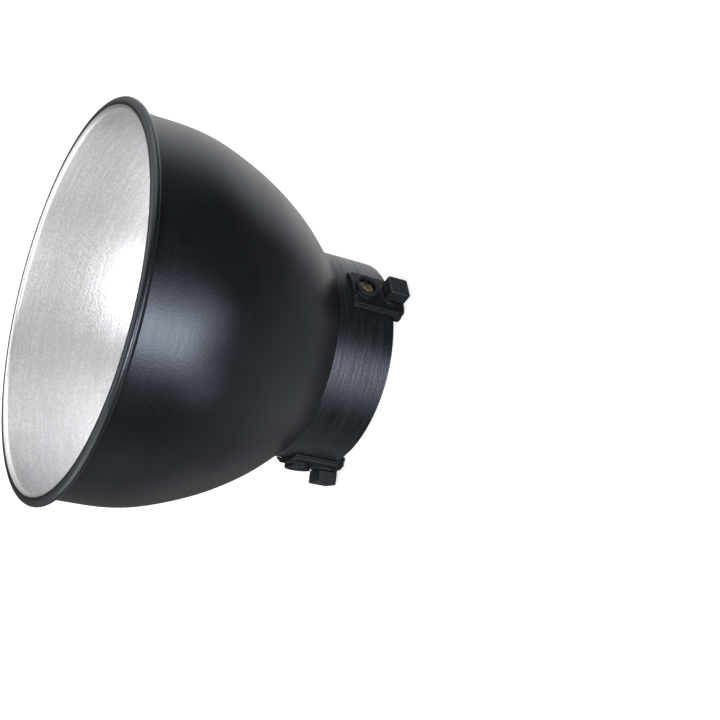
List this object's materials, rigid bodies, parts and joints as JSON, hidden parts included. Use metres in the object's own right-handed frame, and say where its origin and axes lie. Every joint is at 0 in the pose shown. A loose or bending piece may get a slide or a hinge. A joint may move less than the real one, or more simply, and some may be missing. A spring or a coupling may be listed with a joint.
{
  "type": "flash head reflector",
  "caption": "Bell-shaped studio flash reflector, black outside and satin silver inside, with a rolled rim and a collar carrying square-knob quarter-turn clamps.",
  "frame": {"origin": "on the bell's axis, in the plane that the three clamp noses stand on", "axes": "+Z along the bell's axis, out of its mouth, the way the light goes; clamp 1 is towards +Y, clamps 2 and 3 follow at 120 degree steps"},
  "size_m": [0.186, 0.186, 0.1445],
  "materials": {
    "bell_paint": "semi-gloss black paint outside, satin silver inside",
    "collar_paint": "semi-gloss black outside, grey satin inside",
    "clamp_plastic": "matte moulded",
    "knob_plastic": "fine moulded grain",
    "shoe_nylon": "moulded",
    "brass": "turned",
    "spindle_steel": "turned",
    "spring_steel": "plain"
  },
  "bodies": {
    "root": {"reflector_dish": "bell_paint", "collar_tube": "collar_paint", "clamp_base_1": "clamp_plastic", "clamp_pad_1": "clamp_plastic", "pad_insert_1": "brass", "clamp_screw_1": "brass", "spring_washer_1": "spring_steel", "clamp_base_2": "clamp_plastic", "clamp_pad_2": "clamp_plastic", "pad_insert_2": "brass", "clamp_screw_2": "brass", "spring_washer_2": "spring_steel", "clamp_base_3": "clamp_plastic", "clamp_pad_3": "clamp_plastic", "pad_insert_3": "brass", "clamp_screw_3": "brass", "spring_washer_3": "spring_steel"},
    "knob_1": {"lock_knob_1": "knob_plastic", "lock_spindle_1": "spindle_steel"},
    "shoe_1": {"pressure_shoe_1": "shoe_nylon"},
    "knob_2": {"lock_knob_2": "knob_plastic", "lock_spindle_2": "spindle_steel"},
    "shoe_2": {"pressure_shoe_2": "shoe_nylon"},
    "knob_3": {"lock_knob_3": "knob_plastic", "lock_spindle_3": "spindle_steel"},
    "shoe_3": {"pressure_shoe_3": "shoe_nylon"}
  },
  "joints": [
    {"name": "knob_turn_1", "type": "hinge", "parent": "root", "child": "knob_1", "pos_m": [0, 0.0571, 0.0069], "axis": [0, -1, 0], "range_deg": [0, 90]},
    {"name": "shoe_slide_1", "type": "slide", "parent": "root", "child": "shoe_1", "axis": [0, -1, 0], "range_m": [0, 0.0016]},
    {"name": "knob_turn_2", "type": "hinge", "parent": "root", "child": "knob_2", "pos_m": [-0.04945, -0.02855, 0.0069], "axis": [0.866, 0.5, 0], "range_deg": [0, 90]},
    {"name": "shoe_slide_2", "type": "slide", "parent": "root", "child": "shoe_2", "axis": [0.866, 0.5, 0], "range_m": [0, 0.0016]},
    {"name": "knob_turn_3", "type": "hinge", "parent": "root", "child": "knob_3", "pos_m": [0.04945, -0.02855, 0.0069], "axis": [-0.866, 0.5, 0], "range_deg": [0, 90]},
    {"name": "shoe_slide_3", "type": "slide", "parent": "root", "child": "shoe_3", "axis": [-0.866, 0.5, 0], "range_m": [0, 0.0016]}
  ],
  "couplings": [
    {"joint": "shoe_slide_1", "follows": "knob_turn_1", "m_per_rad": 0.0010185},
    {"joint": "shoe_slide_2", "follows": "knob_turn_2", "m_per_rad": 0.0010185},
    {"joint": "shoe_slide_3", "follows": "knob_turn_3", "m_per_rad": 0.0010185}
  ]
}
